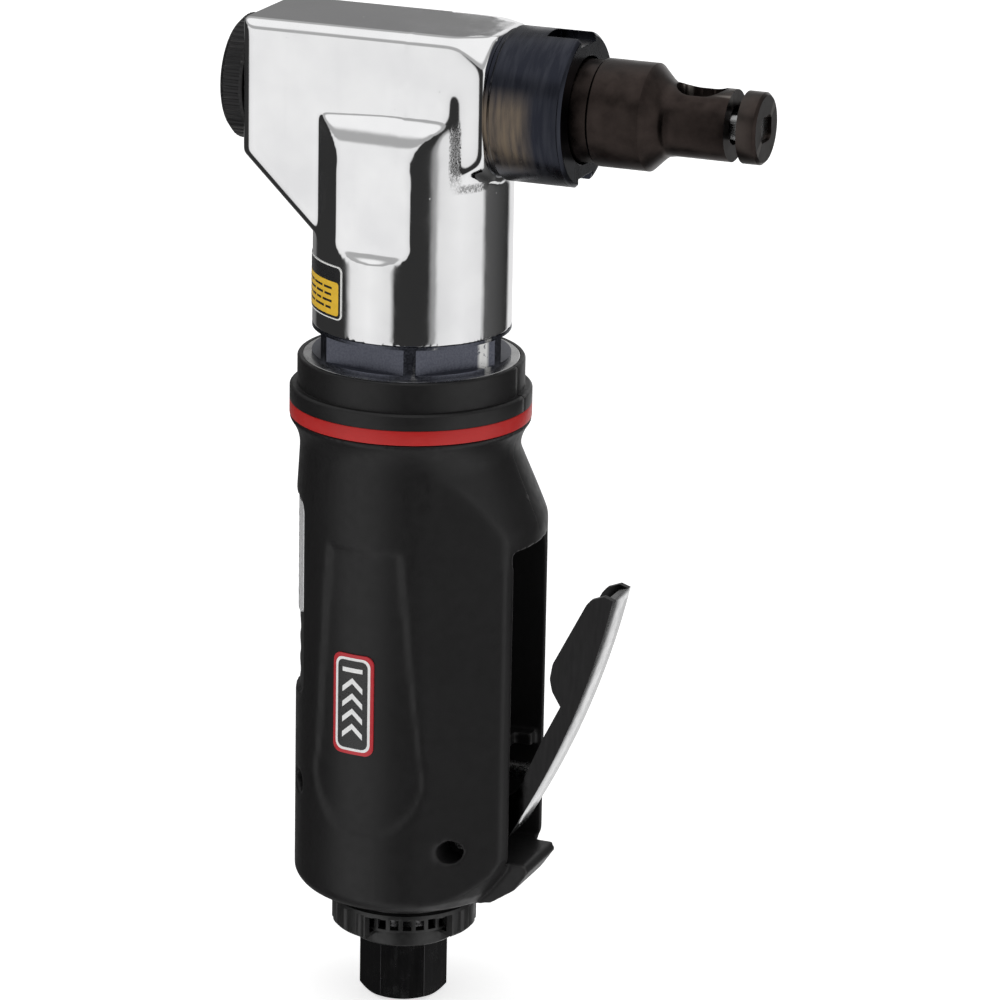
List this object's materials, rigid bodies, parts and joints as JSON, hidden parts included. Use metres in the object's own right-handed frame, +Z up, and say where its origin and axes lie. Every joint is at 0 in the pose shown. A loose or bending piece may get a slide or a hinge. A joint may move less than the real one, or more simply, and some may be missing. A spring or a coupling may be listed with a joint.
{
  "type": "pneumatic nibbler",
  "caption": "Lever-throttle air nibbler: upright vane-motor handle, right-angle polished head, clamp nut and a round punch-and-die nose for cutting sheet metal.",
  "frame": {"origin": "centre of the air inlet's mouth, on the handle's axis", "axes": "+Z up the handle to the head, +X along the nose towards the die and on the lever's side"},
  "size_m": [0.1196, 0.053, 0.2229],
  "materials": {
    "polished_aluminium": "polished cast",
    "black_composite": "fine moulded texture",
    "red_band": "satin",
    "black_plastic": "satin moulded",
    "black_nickel": "black nickel",
    "phosphated_steel": "dark phosphate",
    "blued_steel": "blued",
    "brown_oxide_steel": "brown-black oxide",
    "ground_steel": "ground",
    "machined_steel": "machined",
    "black_oxide_steel": "black oxide",
    "spring_steel": "drawn wire",
    "brass": "machined",
    "bronze": "bearing bronze",
    "vane_composite": "pressed resin",
    "black_rubber": "moulded",
    "felt": "pressed felt",
    "label_metal": "printed foil",
    "badge_print": "printed",
    "caution_print": "printed vinyl"
  },
  "bodies": {
    "handle": {"inlet_bushing": "black_nickel", "inlet_screen": "brass", "inlet_seal": "black_rubber", "muffler_cage": "black_plastic", "exhaust_muffler": "felt", "motor_housing": "machined_steel", "stem_bushing": "brass", "valve_spring": "spring_steel", "valve_cap": "brass", "lever_pin": "ground_steel", "grip": "black_composite", "grip_screws": "black_oxide_steel", "accent_band": "red_band", "grip_collar": "black_composite", "rating_plate": "label_metal", "side_badge": "badge_print", "rear_end_plate": "machined_steel", "front_end_plate": "machined_steel", "cylinder_liner": "machined_steel", "locating_pin": "ground_steel", "ring_gear": "machined_steel", "motor_spacer": "machined_steel", "bearing_seat_ring": "machined_steel", "clamp_nut": "phosphated_steel", "head_seal": "black_rubber", "head_housing": "polished_aluminium", "rear_cap": "black_oxide_steel", "rear_ram_bushing": "bronze", "front_ram_bushing": "bronze", "caution_label": "caution_print", "die": "brown_oxide_steel", "die_washer": "machined_steel", "lock_nut": "blued_steel", "rear_rotor_bearing": "ground_steel", "front_rotor_bearing": "ground_steel", "lower_crank_bearing": "ground_steel", "upper_crank_bearing": "ground_steel"},
    "crank": {"crank_shaft": "machined_steel", "planet_pins": "ground_steel", "shaft_spacer": "machined_steel", "lower_crank_bearing_inner_ring": "ground_steel", "upper_crank_bearing_inner_ring": "ground_steel"},
    "rotor": {"rotor": "machined_steel", "rotor_vanes": "vane_composite", "sun_pinion": "machined_steel", "rear_rotor_bearing_inner_ring": "ground_steel", "front_rotor_bearing_inner_ring": "ground_steel"},
    "planet_1": {"planet_gear_1": "machined_steel"},
    "planet_2": {"planet_gear_2": "machined_steel"},
    "planet_3": {"planet_gear_3": "machined_steel"},
    "roller": {"crank_roller": "ground_steel"},
    "ram": {"ram": "ground_steel", "punch": "ground_steel", "punch_screw": "black_oxide_steel"},
    "lever": {"throttle_lever": "black_nickel"},
    "throttle_valve": {"throttle_stem": "ground_steel", "stem_seal": "black_rubber"},
    "deflector": {"exhaust_deflector": "black_plastic"}
  },
  "joints": [
    {"name": "crank_turn", "type": "hinge", "parent": "handle", "child": "crank", "pos_m": [0, 0, 0.137], "axis": [0, 0, 1], "range_deg": [0, 180]},
    {"name": "rotor_spin", "type": "hinge", "parent": "handle", "child": "rotor", "pos_m": [0, 0, 0.09], "axis": [0, 0, 1], "range_deg": [0, 962]},
    {"name": "planet_1_spin", "type": "hinge", "parent": "crank", "child": "planet_1", "pos_m": [0.0096, 0, 0.125], "axis": [0, 0, 1], "range_deg": [-470, 0]},
    {"name": "planet_2_spin", "type": "hinge", "parent": "crank", "child": "planet_2", "pos_m": [-0.0048, 0.00831, 0.125], "axis": [0, 0, 1], "range_deg": [-470, 0]},
    {"name": "planet_3_spin", "type": "hinge", "parent": "crank", "child": "planet_3", "pos_m": [-0.0048, -0.00831, 0.125], "axis": [0, 0, 1], "range_deg": [-470, 0]},
    {"name": "roller_spin", "type": "hinge", "parent": "crank", "child": "roller", "pos_m": [0.003, 0, 0.2036], "axis": [0, 0, 1], "continuous": true},
    {"name": "ram_slide", "type": "slide", "parent": "handle", "child": "ram", "axis": [-1, 0, 0], "range_m": [0, 0.0061]},
    {"name": "lever_hinge", "type": "hinge", "parent": "handle", "child": "lever", "pos_m": [0.0179, 0, 0.0411], "axis": [0, -1, 0], "range_deg": [0, 20], "stiffness_Nm_per_rad": 0.25, "springref_deg": -14.32},
    {"name": "throttle_slide", "type": "slide", "parent": "handle", "child": "throttle_valve", "axis": [-1, 0, 0], "range_m": [0, 0.0062], "deforming": ["valve_spring"]},
    {"name": "deflector_swivel", "type": "hinge", "parent": "handle", "child": "deflector", "pos_m": [0, 0, 0.018], "axis": [0, 0, 1], "continuous": true}
  ],
  "couplings": [
    {"joint": "rotor_spin", "follows": "crank_turn", "ratio": 5.3333},
    {"joint": "planet_1_spin", "follows": "crank_turn", "ratio": -2.6},
    {"joint": "planet_2_spin", "follows": "crank_turn", "ratio": -2.6},
    {"joint": "planet_3_spin", "follows": "crank_turn", "ratio": -2.6},
    {"joint": "ram_slide", "follows": "crank_turn", "m_per_rad": 0.0019099},
    {"joint": "throttle_slide", "follows": "lever_hinge", "m_per_rad": 0.0175}
  ]
}
